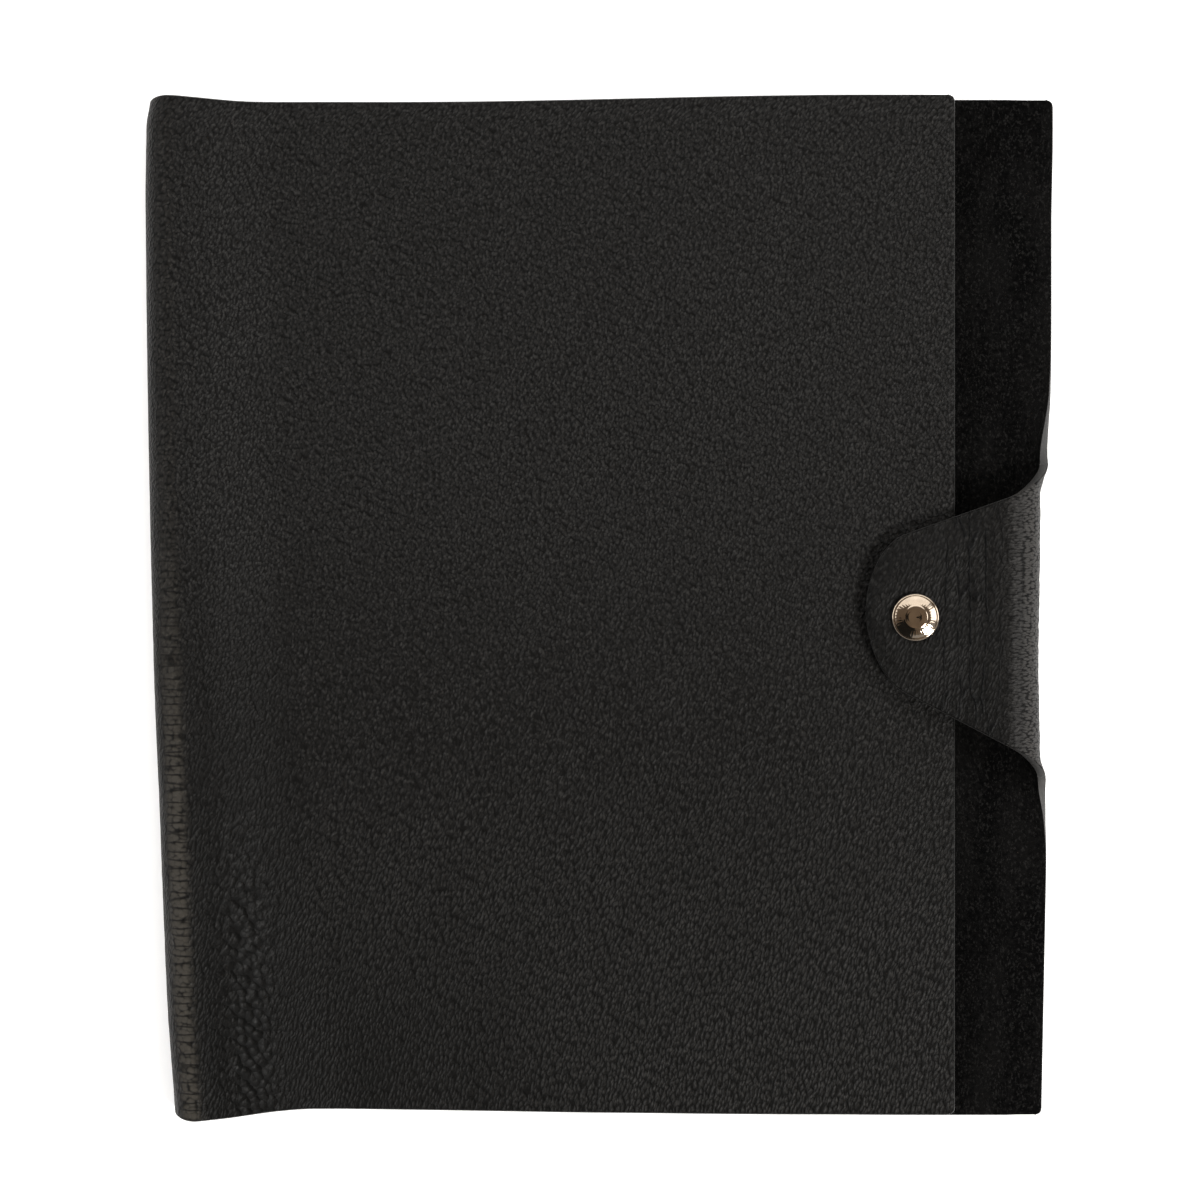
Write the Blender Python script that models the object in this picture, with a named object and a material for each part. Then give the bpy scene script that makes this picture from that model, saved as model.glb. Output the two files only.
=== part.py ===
"""Leather notebook cover with a snap strap, as separate named pieces.

One hide bends round the notebook: back cover, rolled spine, front cover. A strap
cut in one with the back cover folds over the fore edge and closes on the front
cover with a press stud. A steel bar on two posts holds the notebook inside.

The hide is one piece of leather. It is modelled as rigid pieces that meet where
it bends, each cut along a radius of the bend, so that hinges can unbend it.

Metres, +Z up. The cover lies closed on its back cover, with the spine towards -X
and the head towards +Y. The origin is the middle of the outline, at table height.
"""

import math

import bmesh
import bpy
from mathutils import Matrix

# ---- driving dimensions -------------------------------------------------------
GAP = 0.0003  # clearance between pieces that touch on the real cover
LEATHER = 0.0020

# The rolled spine leans: it reaches further out at the head than at the tail.
HEAD_Y = 0.1130
TAIL_Y = -0.1130
SPINE_X_HEAD = -0.1000
SPINE_X_TAIL = -0.0930
ROLL_HEIGHT = 0.0120
CUT_ANGLES = (45.0, 135.0)  # where the roll is split, from its lowest line upwards

# The front cover settles from the top of the roll to its own flat.
FRONT_TOP = 0.0086
SETTLE_LENGTH = 0.024
FRONT_EDGE_X = 0.0785
FRONT_TAIL_Y = -0.1117
CORNER_RADIUS = 0.0012

BACK_EDGE_X_HEAD = 0.1000
BACK_EDGE_X_TAIL = 0.0976
BACK_HEAD_Y = 0.1121
BACK_TAIL_Y = -0.1118

# The strap folds up out of the back cover and lies over the front cover.
STRAP_REACH_X = 0.0970
STRAP_TOP = 0.0134
STRAP_TIP_X = 0.0588
STRAP_TIP_Y = -0.0006
STRAP_LEAN = -0.082  # how far its middle line drifts to the tail per metre from the tip
NOSE_WIDTH = 0.0136  # half width of the rounded nose, before the flare
NOSE_LENGTH = 0.0086
FLARE = 0.436  # growth of the half width per metre from the tip

# Press stud through strap and front cover.
SNAP_X = 0.0696
SNAP_Y = -0.0021
SNAP_HOLE_RADIUS = 0.0017
CAP_RADIUS = 0.0052
CAP_HEIGHT = 0.0015
TURNED_SIDES = 40

# Bar that holds the notebook, standing on two posts near the spine.
BAR_X = -0.0830
BAR_Z = 0.0053
BAR_RADIUS = 0.0010
BAR_ENDS_Y = (-0.0980, 0.1000)
POST_Y = 0.0940
POST_WIDTH = 0.0052
POST_THICKNESS = 0.0016
POST_BASE_LENGTH = 0.0090
POST_BASE_THICKNESS = 0.0007
EYE_RADIUS = 0.0022
KNOB_RADIUS = 0.0016
RIVET_Y = 0.0895
RIVET_SHANK_RADIUS = 0.0008
RIVET_HEAD_RADIUS = 0.0018

# ---- derived dimensions -------------------------------------------------------
ROLL_RADIUS = ROLL_HEIGHT / 2
FOLD_RADIUS = STRAP_TOP / 2
FOLD_CENTRE_X = STRAP_REACH_X - FOLD_RADIUS
FRONT_UNDER = FRONT_TOP - LEATHER
STRAP_UNDER = STRAP_TOP - LEATHER
POST_BASE_TOP = LEATHER + GAP + POST_BASE_THICKNESS

COLOURS = {
    "grain_leather": ((0.018, 0.017, 0.016), 0.55, 0.0),
    "chrome": ((0.62, 0.60, 0.56), 0.12, 1.0),
    "steel": ((0.56, 0.56, 0.55), 0.30, 1.0),
    "spring_wire": ((0.60, 0.52, 0.36), 0.35, 1.0),
}


# ---- helpers ------------------------------------------------------------------
def clear_scene():
    for item in list(bpy.data.objects):
        bpy.data.objects.remove(item, do_unlink=True)


def material(name):
    """A plain Principled material from COLOURS, made once."""
    found = bpy.data.materials.get(name)
    if found:
        return found
    colour, roughness, metallic = COLOURS[name]
    made = bpy.data.materials.new(name)
    made.use_nodes = True
    shader = made.node_tree.nodes["Principled BSDF"]
    shader.inputs["Base Color"].default_value = (*colour, 1.0)
    shader.inputs["Roughness"].default_value = roughness
    shader.inputs["Metallic"].default_value = metallic
    return made


def pivot(name, x, z):
    """An empty on a joint's line, which is parallel to Y."""
    empty = bpy.data.objects.new(name, None)
    empty.location = (x, 0.0, z)
    empty.empty_display_size = 0.02
    bpy.context.scene.collection.objects.link(empty)
    return empty


def add_object(name, mesh, finish, joint=None):
    """Links a mesh given in world places. With a joint, its origin is the joint's empty."""
    item = bpy.data.objects.new(name, mesh)
    mesh.materials.append(material(finish))
    bpy.context.scene.collection.objects.link(item)
    if joint:
        mesh.transform(Matrix.Translation(-joint.location))
        item.parent = joint
    return item


def to_mesh(name, bm):
    bmesh.ops.recalc_face_normals(bm, faces=bm.faces)
    mesh = bpy.data.meshes.new(name)
    bm.to_mesh(mesh)
    bm.free()
    return mesh


def slab(name, grain, flesh):
    """A closed sheet between two grids of points, its grain face and its flesh face."""
    bm = bmesh.new()
    faces = [[[bm.verts.new(p) for p in row] for row in grid] for grid in (grain, flesh)]
    rows, columns = len(grain), len(grain[0])
    for side in faces:
        for i in range(rows - 1):
            for j in range(columns - 1):
                bm.faces.new((side[i][j], side[i + 1][j], side[i + 1][j + 1], side[i][j + 1]))
    rim = [(i, 0) for i in range(rows)]
    rim += [(rows - 1, j) for j in range(1, columns)]
    rim += [(i, columns - 1) for i in range(rows - 2, -1, -1)]
    rim += [(0, j) for j in range(columns - 2, 0, -1)]
    for (i, j), (k, m) in zip(rim, rim[1:] + rim[:1]):
        bm.faces.new((faces[0][i][j], faces[0][k][m], faces[1][k][m], faces[1][i][j]))
    return to_mesh(name, bm)


def turned(name, profile, x, y, sides=TURNED_SIDES):
    """A solid of revolution about a vertical line, from (radius, z) points. A radius
    of 0 closes it on the axis; without one the last point joins the first, as on a tube."""
    bm = bmesh.new()
    rings = []
    for radius, z in profile:
        if radius == 0:
            rings.append([bm.verts.new((x, y, z))])
            continue
        turns = [2 * math.pi * k / sides for k in range(sides)]
        rings.append([bm.verts.new((x + radius * math.cos(a), y + radius * math.sin(a), z)) for a in turns])
    pairs = list(zip(rings, rings[1:]))
    if profile[0][0] > 0:
        pairs.append((rings[-1], rings[0]))
    for low, high in pairs:
        for k in range(sides):
            n = (k + 1) % sides
            corners = [low[k % len(low)], low[n % len(low)], high[n % len(high)], high[k % len(high)]]
            bm.faces.new(list(dict.fromkeys(corners)))
    mesh = to_mesh(name, bm)
    mesh.shade_smooth()
    mesh.set_sharp_from_angle(angle=math.radians(35))
    return mesh


def box(name, low, high):
    bm = bmesh.new()
    bmesh.ops.create_cube(bm, size=1.0)
    for v in bm.verts:
        v.co = [(a + b) / 2 + c * (b - a) for a, b, c in zip(low, high, v.co)]
    return to_mesh(name, bm)


def cut_with(item, mesh, operation="DIFFERENCE"):
    """A Boolean with a hidden helper object in the item's own frame."""
    helper = bpy.data.objects.new(f"{item.name}_{mesh.name}", mesh)
    bpy.context.scene.collection.objects.link(helper)
    helper.hide_render = True
    helper.display_type = "WIRE"
    modifier = item.modifiers.new(mesh.name, "BOOLEAN")
    modifier.operation = operation
    modifier.solver = "EXACT"
    modifier.object = helper
    return helper


def drill(item, x, y, low, high, radius, label="hole"):
    """A round hole straight down through an item."""
    cut_with(item, turned(label, [(0, high), (radius, high), (radius, low), (0, low)], x, y, 24))


# ---- the hide's cross-section -------------------------------------------------
def along(y, at_head, at_tail):
    """A value that changes evenly from the tail of the spine to its head."""
    return at_tail + (at_head - at_tail) * (y - TAIL_Y) / (HEAD_Y - TAIL_Y)


def roll_centre_x(y):
    return along(y, SPINE_X_HEAD, SPINE_X_TAIL) + ROLL_RADIUS


def bend(centre_x, radius, angle, y, towards):
    """Grain and flesh points of a round bend. The angle starts at the lowest line;
    towards is -1 for a bend that bulges to -X and +1 for one that bulges to +X."""
    a = math.radians(angle)
    points = []
    for r in (radius, radius - LEATHER):
        points.append((centre_x + towards * r * math.sin(a), y, radius - r * math.cos(a)))
    return points


def cut_half_angle(radius):
    """Half the angle that a cut of width GAP takes at the flesh side."""
    return math.degrees(GAP / 2 / (radius - LEATHER))


def spread(first, last, count):
    return [first + (last - first) * k / (count - 1) for k in range(count)]


def rows_to_grids(rows):
    """Splits rows of (grain point, flesh point) pairs into two grids."""
    return [[p[0] for p in row] for row in rows], [[p[1] for p in row] for row in rows]


def settle(x, start_x):
    """Height of the front cover's grain face, and the slope there."""
    u = min(max((x - start_x) / SETTLE_LENGTH, 0.0), 1.0)
    drop = ROLL_HEIGHT - FRONT_TOP
    height = ROLL_HEIGHT - drop * u * u * (3 - 2 * u)
    slope = -drop * 6 * u * (1 - u) / SETTLE_LENGTH
    return height, slope


def front_points(x, y, start_x):
    """Grain and flesh points of the front cover right of the roll."""
    height, slope = settle(x, start_x)
    length = math.hypot(1.0, slope)
    flesh = (x + LEATHER * slope / length, y, height - LEATHER / length)
    return (x, y, height), flesh


# ---- leather pieces -----------------------------------------------------------
def strap_half_width(distance):
    """Half the strap's width at a distance from its tip."""
    u = 1 - min(distance / NOSE_LENGTH, 1.0)
    return NOSE_WIDTH * math.sqrt(1 - u * u) + FLARE * distance


def strap_sides(x):
    """The strap's tail and head edges at a place across the cover."""
    distance = max(x - STRAP_TIP_X, 0.0)
    middle = STRAP_TIP_Y + STRAP_LEAN * distance
    half = strap_half_width(distance)
    return middle - half, middle + half


def make_spine(joint):
    gap = cut_half_angle(ROLL_RADIUS)
    angles = spread(CUT_ANGLES[0] + gap, CUT_ANGLES[1] - gap, 9)
    ys = spread(TAIL_Y, HEAD_Y, 7)
    rows = [[bend(roll_centre_x(y), ROLL_RADIUS, a, y, -1) for y in ys] for a in angles]
    mesh = slab("spine_fold", *rows_to_grids(rows))
    return add_object("spine_fold", mesh, "grain_leather", joint)


def make_front(joint):
    gap = cut_half_angle(ROLL_RADIUS)
    ys = [FRONT_TAIL_Y] + spread(FRONT_TAIL_Y + CORNER_RADIUS, HEAD_Y - CORNER_RADIUS, 6) + [HEAD_Y]
    rows = []
    for angle in spread(CUT_ANGLES[1] + gap, 180.0, 6):
        rows.append([bend(roll_centre_x(y), ROLL_RADIUS, angle, y, -1) for y in ys])
    for share in spread(0.1, 1.0, 9):
        step = share * SETTLE_LENGTH
        rows.append([front_points(roll_centre_x(y) + step, y, roll_centre_x(y)) for y in ys])
    rows.append([front_points(FRONT_EDGE_X - CORNER_RADIUS, y, roll_centre_x(y)) for y in ys])
    rounding = 0.3 * CORNER_RADIUS
    edge = [(FRONT_EDGE_X, y) for y in ys]
    edge[0] = (FRONT_EDGE_X - rounding, FRONT_TAIL_Y + rounding)
    edge[-1] = (FRONT_EDGE_X - rounding, HEAD_Y - rounding)
    rows.append([front_points(x, y, roll_centre_x(y)) for x, y in edge])
    mesh = slab("front_cover", *rows_to_grids(rows))
    cover = add_object("front_cover", mesh, "grain_leather", joint)
    drill(cover, SNAP_X, SNAP_Y, 0.0, STRAP_TOP, SNAP_HOLE_RADIUS, "stud_hole")
    return cover


def make_back():
    """Plate and lower part of the spine's roll, with the root of the strap's fold."""
    gap = cut_half_angle(ROLL_RADIUS)
    root_tail, root_head = strap_sides(STRAP_REACH_X)
    ys = [BACK_TAIL_Y, -0.07, root_tail, 0.0, root_head, 0.07, BACK_HEAD_Y]
    rows = []
    for angle in spread(CUT_ANGLES[0] - gap, 0.0, 6):
        rows.append([bend(roll_centre_x(y), ROLL_RADIUS, angle, y, -1) for y in ys])
    for edge in (lambda y: FRONT_EDGE_X, lambda y: along(y, BACK_EDGE_X_HEAD, BACK_EDGE_X_TAIL)):
        rows.append([((edge(y), y, 0.0), (edge(y), y, LEATHER)) for y in ys])
    cover = add_object("back_cover", slab("back_cover", *rows_to_grids(rows)), "grain_leather")

    notch_low = (FOLD_CENTRE_X, root_tail, -LEATHER)
    notch_high = (BACK_EDGE_X_HEAD + LEATHER, root_head, 2 * LEATHER)
    cut_with(cover, box("strap_notch", notch_low, notch_high))

    gap = cut_half_angle(FOLD_RADIUS)
    sides = (root_tail, root_head)
    overlap = 0.0005
    rows = [[((FOLD_CENTRE_X - overlap, y, 0.0), (FOLD_CENTRE_X - overlap, y, LEATHER)) for y in sides]]
    for angle in spread(0.0, CUT_ANGLES[0] - gap, 6):
        rows.append([bend(FOLD_CENTRE_X, FOLD_RADIUS, angle, y, 1) for y in sides])
    cut_with(cover, slab("strap_root", *rows_to_grids(rows)), "UNION")

    for side in (-1, 1):
        y = side * RIVET_Y
        drill(cover, BAR_X, y, -LEATHER, 2 * LEATHER, RIVET_SHANK_RADIUS + GAP, f"rivet_hole_{side + 1}")
        drill(cover, BAR_X, y, -LEATHER, 0.0008, RIVET_HEAD_RADIUS + GAP, f"rivet_recess_{side + 1}")
    return cover


def make_strap_fold(joint):
    """The middle of the strap's fold, between its two hinge lines."""
    gap = cut_half_angle(FOLD_RADIUS)
    rows = []
    for angle in spread(CUT_ANGLES[0] + gap, CUT_ANGLES[1] - gap, 9):
        plan_x = FOLD_CENTRE_X + FOLD_RADIUS * math.sin(math.radians(max(angle, 90.0)))
        sides = strap_sides(plan_x)
        rows.append([bend(FOLD_CENTRE_X, FOLD_RADIUS, angle, y, 1) for y in sides])
    mesh = slab("strap_fold", *rows_to_grids(rows))
    return add_object("strap_fold", mesh, "grain_leather", joint)


def make_strap_tab(joint):
    """The strap from its upper hinge line to its rounded nose."""
    gap = cut_half_angle(FOLD_RADIUS)
    rows = []
    for angle in spread(CUT_ANGLES[1] + gap, 180.0, 6):
        plan_x = FOLD_CENTRE_X + FOLD_RADIUS * math.sin(math.radians(angle))
        rows.append([bend(FOLD_CENTRE_X, FOLD_RADIUS, angle, y, 1) for y in strap_sides(plan_x)])
    nose = [NOSE_LENGTH * (1 - math.cos(math.radians(a))) for a in spread(90.0, 5.0, 14)]
    for distance in [0.022] + nose:
        x = STRAP_TIP_X + distance
        rows.append([((x, y, STRAP_TOP), (x, y, STRAP_UNDER)) for y in strap_sides(x)])
    mesh = slab("strap_tab", *rows_to_grids(rows))
    tab = add_object("strap_tab", mesh, "grain_leather", joint)
    drill(tab, SNAP_X, SNAP_Y, FRONT_TOP, STRAP_TOP + LEATHER, SNAP_HOLE_RADIUS, "cap_hole")
    return tab


# ---- press stud ---------------------------------------------------------------
SOCKET_TOP = STRAP_UNDER - GAP
SOCKET_PLATE = 0.0004
STUD_BASE_TOP = FRONT_TOP + GAP + 0.0004
POST_RADIUS = 0.0010


def make_cap(joint):
    """Domed cap with a raised ring, a dimple and the post that holds the socket."""
    base = STRAP_TOP + GAP
    crown = base + CAP_HEIGHT
    profile = [
        (0, crown - 0.0006),
        (0.0008, crown - 0.00055),
        (0.0014, crown - 0.0003),
        (0.0019, crown - 0.00005),
        (0.0024, crown),
        (0.0029, crown - 0.0001),
        (0.0034, crown - 0.0002),
        (0.0042, crown - 0.00045),
        (0.0049, crown - 0.0009),
        (CAP_RADIUS, base + 0.0003),
        (CAP_RADIUS - 0.0001, base),
        (POST_RADIUS, base),
        (POST_RADIUS, SOCKET_TOP - SOCKET_PLATE),
        (0, SOCKET_TOP - SOCKET_PLATE),
    ]
    return add_object("snap_cap", turned("snap_cap", profile, SNAP_X, SNAP_Y), "chrome", joint)


def make_socket(joint):
    """Cup on the strap's flesh side, open downwards over the stud."""
    plate, wall_in, wall_out = 0.0038, 0.0028, 0.0033
    hole = POST_RADIUS + GAP
    mouth = STUD_BASE_TOP + GAP
    roof = SOCKET_TOP - SOCKET_PLATE
    profile = [
        (hole, SOCKET_TOP),
        (plate, SOCKET_TOP),
        (plate, roof),
        (wall_out, roof),
        (wall_out, mouth),
        (wall_in, mouth),
        (wall_in, roof),
        (hole, roof),
    ]
    return add_object("snap_socket", turned("snap_socket", profile, SNAP_X, SNAP_Y), "chrome", joint)


def make_spring(joint):
    """Round wire ring inside the socket's cup, which grips the stud."""
    ring, wire, sides = 0.00223, 0.00024, 10
    middle = (STUD_BASE_TOP + GAP + SOCKET_TOP - SOCKET_PLATE) / 2
    turns = [2 * math.pi * k / sides for k in range(sides)]
    profile = [(ring + wire * math.cos(a), middle + wire * math.sin(a)) for a in turns]
    mesh = turned("socket_spring", profile, SNAP_X, SNAP_Y)
    return add_object("socket_spring", mesh, "spring_wire", joint)


def make_stud(joint):
    """Stud on the grain side of the front cover, with a waist under its head."""
    base = FRONT_TOP + GAP
    head = SOCKET_TOP - SOCKET_PLATE - GAP
    bore = POST_RADIUS + GAP
    profile = [
        (bore, base),
        (0.0037, base),
        (0.0037, STUD_BASE_TOP),
        (0.00155, STUD_BASE_TOP),
        (0.00150, STUD_BASE_TOP + 0.0003),
        (0.00168, head - 0.0004),
        (0.00160, head - 0.0001),
        (bore + 0.0001, head),
        (bore, head - 0.0001),
    ]
    return add_object("snap_stud", turned("snap_stud", profile, SNAP_X, SNAP_Y), "chrome", joint)


def make_stud_post(joint):
    """Eyelet under the front cover, whose post goes up through the stud."""
    flange_top = FRONT_UNDER - GAP
    top = STUD_BASE_TOP + 0.0006
    profile = [
        (0, flange_top - 0.0006),
        (0.0034, flange_top - 0.0006),
        (0.0037, flange_top - 0.0003),
        (0.0036, flange_top),
        (POST_RADIUS, flange_top),
        (POST_RADIUS, top),
        (0, top),
    ]
    return add_object("stud_post", turned("stud_post", profile, SNAP_X, SNAP_Y), "chrome", joint)


# ---- notebook bar -------------------------------------------------------------
def lay_along_y(mesh, x, y, z):
    """Turns a shape made upright on the origin so that it points along Y from a place."""
    mesh.transform(Matrix.Translation((x, y, z)) @ Matrix.Rotation(math.radians(-90), 4, "X"))
    return mesh


def make_bar(joint):
    """Straight wire along the spine with a round knob at its head end to pull it by."""
    tail, head = BAR_ENDS_Y
    profile = [(0, tail), (BAR_RADIUS * 0.6, tail + 0.0001), (BAR_RADIUS, tail + 0.0006), (BAR_RADIUS, head)]
    for angle in spread(145.0, 10.0, 9):
        a = math.radians(angle)
        profile.append((KNOB_RADIUS * math.sin(a), head + KNOB_RADIUS * (0.82 + math.cos(a))))
    profile.append((0, head + KNOB_RADIUS * 1.82))
    mesh = lay_along_y(turned("notebook_bar", profile, 0.0, 0.0, 24), BAR_X, 0.0, BAR_Z)
    return add_object("notebook_bar", mesh, "steel", joint)


def eye_plate(y_low, y_high, foot_z):
    """Upright plate with a round top about the bar's line."""
    arc = [math.radians(a) for a in spread(180.0, 0.0, 13)]
    outline = [(-EYE_RADIUS, foot_z)]
    outline += [(EYE_RADIUS * math.cos(a), BAR_Z + EYE_RADIUS * math.sin(a)) for a in arc]
    outline += [(EYE_RADIUS, foot_z)]
    bm = bmesh.new()
    rims = [[bm.verts.new((BAR_X + x, y, z)) for x, z in outline] for y in (y_low, y_high)]
    bm.faces.new(rims[0])
    bm.faces.new(rims[1])
    for k in range(len(outline)):
        n = (k + 1) % len(outline)
        bm.faces.new((rims[0][k], rims[0][n], rims[1][n], rims[1][k]))
    return to_mesh("eye", bm)


def make_post(name, side):
    """Foot on the back cover with an upright eye that the bar slides through."""
    outer = POST_Y + POST_THICKNESS / 2
    low, high = sorted((side * outer, side * (outer - POST_BASE_LENGTH)))
    half = POST_WIDTH / 2
    foot = box("foot", (BAR_X - half, low, LEATHER + GAP), (BAR_X + half, high, POST_BASE_TOP))
    post = add_object(name, foot, "steel")
    low, high = sorted((side * outer, side * (outer - POST_THICKNESS)))
    cut_with(post, eye_plate(low, high, POST_BASE_TOP - POST_BASE_THICKNESS / 2), "UNION")
    reach = 0.004
    bore = [(0, reach), (BAR_RADIUS + GAP, reach), (BAR_RADIUS + GAP, -reach), (0, -reach)]
    cut_with(post, lay_along_y(turned("bore", bore, 0.0, 0.0, 24), BAR_X, side * POST_Y, BAR_Z))
    drill(post, BAR_X, side * RIVET_Y, 0.0, BAR_Z, RIVET_SHANK_RADIUS + GAP, "rivet_hole")
    return post


def make_rivet(name, side):
    """Rivet through back cover and foot: a flush head below, a set end above."""
    low = 0.0002
    set_low = POST_BASE_TOP + GAP
    profile = [
        (0, low),
        (RIVET_HEAD_RADIUS, low),
        (RIVET_HEAD_RADIUS, low + 0.0003),
        (RIVET_SHANK_RADIUS, low + 0.0003),
        (RIVET_SHANK_RADIUS, set_low),
        (0.0014, set_low),
        (0.0012, set_low + 0.0003),
        (0, set_low + 0.0004),
    ]
    return add_object(name, turned(name, profile, BAR_X, side * RIVET_Y, 24), "steel")


# ---- the whole cover ----------------------------------------------------------
def build():
    clear_scene()
    low_side = 1 - math.sin(math.radians(CUT_ANGLES[0]))
    spine_x = SPINE_X_HEAD + ROLL_RADIUS * low_side
    spine_pivot = pivot("spine_hinge", spine_x, ROLL_RADIUS * low_side)
    front_pivot = pivot("front_hinge", spine_x, ROLL_HEIGHT - ROLL_RADIUS * low_side)
    strap_x = STRAP_REACH_X - FOLD_RADIUS * low_side
    fold_pivot = pivot("strap_hinge", strap_x, FOLD_RADIUS * low_side)
    tab_pivot = pivot("tab_hinge", strap_x, STRAP_TOP - FOLD_RADIUS * low_side)

    bar_line = pivot("bar_slide", BAR_X, BAR_Z)

    make_back()
    make_spine(spine_pivot)
    make_front(front_pivot)
    make_stud(front_pivot)
    make_stud_post(front_pivot)
    make_strap_fold(fold_pivot)
    make_strap_tab(tab_pivot)
    make_cap(tab_pivot)
    make_socket(tab_pivot)
    make_spring(tab_pivot)
    make_bar(bar_line)
    for word, side in (("upper", 1), ("lower", -1)):
        make_post(f"{word}_bar_post", side)
        make_rivet(f"{word}_post_rivet", side)


build()
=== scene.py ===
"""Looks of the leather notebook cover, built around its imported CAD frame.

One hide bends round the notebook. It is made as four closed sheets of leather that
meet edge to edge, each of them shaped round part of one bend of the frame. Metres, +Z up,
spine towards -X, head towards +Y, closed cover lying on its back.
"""

import math

import bpy
import numpy as np
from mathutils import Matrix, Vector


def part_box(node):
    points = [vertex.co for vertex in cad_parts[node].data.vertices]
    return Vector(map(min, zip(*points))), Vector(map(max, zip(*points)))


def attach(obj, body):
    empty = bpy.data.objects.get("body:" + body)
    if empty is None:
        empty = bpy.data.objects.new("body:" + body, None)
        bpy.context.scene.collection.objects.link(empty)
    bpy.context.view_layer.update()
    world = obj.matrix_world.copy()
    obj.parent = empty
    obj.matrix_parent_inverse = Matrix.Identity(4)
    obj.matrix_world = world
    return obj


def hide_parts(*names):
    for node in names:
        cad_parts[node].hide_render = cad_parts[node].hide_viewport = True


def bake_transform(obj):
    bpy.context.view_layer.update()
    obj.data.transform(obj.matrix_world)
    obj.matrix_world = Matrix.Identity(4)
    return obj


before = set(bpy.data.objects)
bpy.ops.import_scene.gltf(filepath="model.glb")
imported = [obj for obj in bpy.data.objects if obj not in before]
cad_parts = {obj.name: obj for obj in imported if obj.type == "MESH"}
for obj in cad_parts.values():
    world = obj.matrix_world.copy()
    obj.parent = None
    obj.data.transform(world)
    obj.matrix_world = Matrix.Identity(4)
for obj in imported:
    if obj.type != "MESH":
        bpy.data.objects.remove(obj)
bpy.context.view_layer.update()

# ---- dimensions, from the frame where it has them --------------------------------
back_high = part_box("back_cover")[1]
spine_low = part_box("spine_fold")[0]
front_low, front_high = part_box("front_cover")
fold_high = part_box("strap_fold")[1]
tab_low, tab_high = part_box("strap_tab")
cap_low, cap_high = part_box("snap_cap")

LEATHER = 0.0020
HEAD_Y, TAIL_Y = front_high.y, spine_low.y
HEIGHT = HEAD_Y - TAIL_Y
ROLL_RADIUS = front_high.z / 2
FRONT_TOP = 0.0086
FRONT_EDGE_X = front_high.x
SPLIT_X = 0.020  # where the back cover's two sheets meet, under the front cover
CORNER_RADIUS = 0.0013  # the covers' fore edge corners, seen from above

STRAP_REACH_X = fold_high.x
STRAP_TOP = tab_high.z
STRAP_TIP_X = tab_low.x
FOLD_RADIUS = STRAP_TOP / 2
FOLD_CENTRE_X = STRAP_REACH_X - FOLD_RADIUS
QUARTER_FOLD = FOLD_RADIUS * math.pi / 2  # length of hide in half of the fold
STRAP_TIP_Y = -0.0006
STRAP_LEAN = -0.082  # drift of the strap's middle towards the tail, per metre from its tip
NOSE_WIDTH = 0.0136
NOSE_LENGTH = 0.0086
FLARE = 0.436  # half width that the strap gains, per metre from its tip
FILLET_TAIL, FILLET_HEAD = 0.0034, 0.0052  # the strap's root, wider on each side by these
BACK_EDGE_X_HEAD = back_high.x
BACK_EDGE_X_TAIL = 0.0976
BACK_HEAD_Y, BACK_TAIL_Y = 0.1128, -0.1127

SNAP_X = (cap_low.x + cap_high.x) / 2
SNAP_Y = (cap_low.y + cap_high.y) / 2
CAP_CROWN = cap_high.z
CAP_BASE = 0.0137
CAP_POST_RADIUS, CAP_POST_BASE = 0.0010, 0.0107


# ---- small helpers ---------------------------------------------------------------
def smooth(t):
    t = np.clip(t, 0.0, 1.0)
    return t * t * (3 - 2 * t)


def rise(value, start, length):
    """0 up to start, then a soft rise to 1 over length."""
    return smooth((value - start) / length)


def fade(value, start, length):
    """1 up to start, then a soft fall to 0 over length."""
    return 1 - rise(value, start, length)


def bell(value, middle, width):
    return np.exp(-(((value - middle) / width) ** 2))


def cut_back(from_corner):
    """How far a rounded corner falls back, at this distance from the corner."""
    gone = np.maximum(CORNER_RADIUS - from_corner, 0)
    return CORNER_RADIUS - np.sqrt(np.maximum(CORNER_RADIUS**2 - gone**2, 0))


def ripple(a, b, seed, size, count=9):
    """Smooth random waves over a plane, about -1 to 1, seeded."""
    draw = np.random.default_rng(seed)
    total = np.zeros(np.broadcast(a, b).shape)
    for _ in range(count):
        turn = draw.uniform(0, math.pi)
        length = size * draw.uniform(0.65, 1.7)
        phase = draw.uniform(0, 2 * math.pi)
        along = a * math.cos(turn) + b * math.sin(turn)
        total = total + np.sin(2 * math.pi * along / length + phase)
    return total / math.sqrt(count)


def graded(length, step, fine=0.0015):
    """Shares 0 to 1 of a length in even steps, closer together at both ends."""
    ends = fine * np.array([0.0, 0.10, 0.25, 0.5])
    inner = np.linspace(fine, length - fine, max(3, round((length - 2 * fine) / step)))
    return np.concatenate([ends, inner, length - ends[::-1]]) / length


def link(item):
    bpy.context.scene.collection.objects.link(item)
    return item


# ---- closed sheets of leather ------------------------------------------------------
RIM_SHARES = (0.16, 0.5, 0.84)
RIM_BULGE = 0.00022
EDGE_DROP = 0.00024  # how far the grain turns down at a cut edge
DROP_SHARES = (1.0, 0.42, 0.12)  # of that drop, in the three rows nearest the edge


def border(rows, columns):
    rim = [(i, 0) for i in range(rows)]
    rim += [(rows - 1, j) for j in range(1, columns)]
    rim += [(i, columns - 1) for i in range(rows - 2, -1, -1)]
    rim += [(0, j) for j in range(columns - 2, 0, -1)]
    return np.array(rim)


def outward(grid):
    """Directions out of the grid at its border, in its own surface."""
    out = np.zeros_like(grid)
    ends = ((np.s_[0, :], np.s_[1, :]), (np.s_[-1, :], np.s_[-2, :]))
    sides = ((np.s_[:, 0], np.s_[:, 1]), (np.s_[:, -1], np.s_[:, -2]))
    for edge, inner in ends + sides:
        away = grid[edge] - grid[inner]
        out[edge] += away / np.maximum(np.linalg.norm(away, axis=-1, keepdims=True), 1e-9)
    return out / np.maximum(np.linalg.norm(out, axis=-1, keepdims=True), 1e-9)


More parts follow.
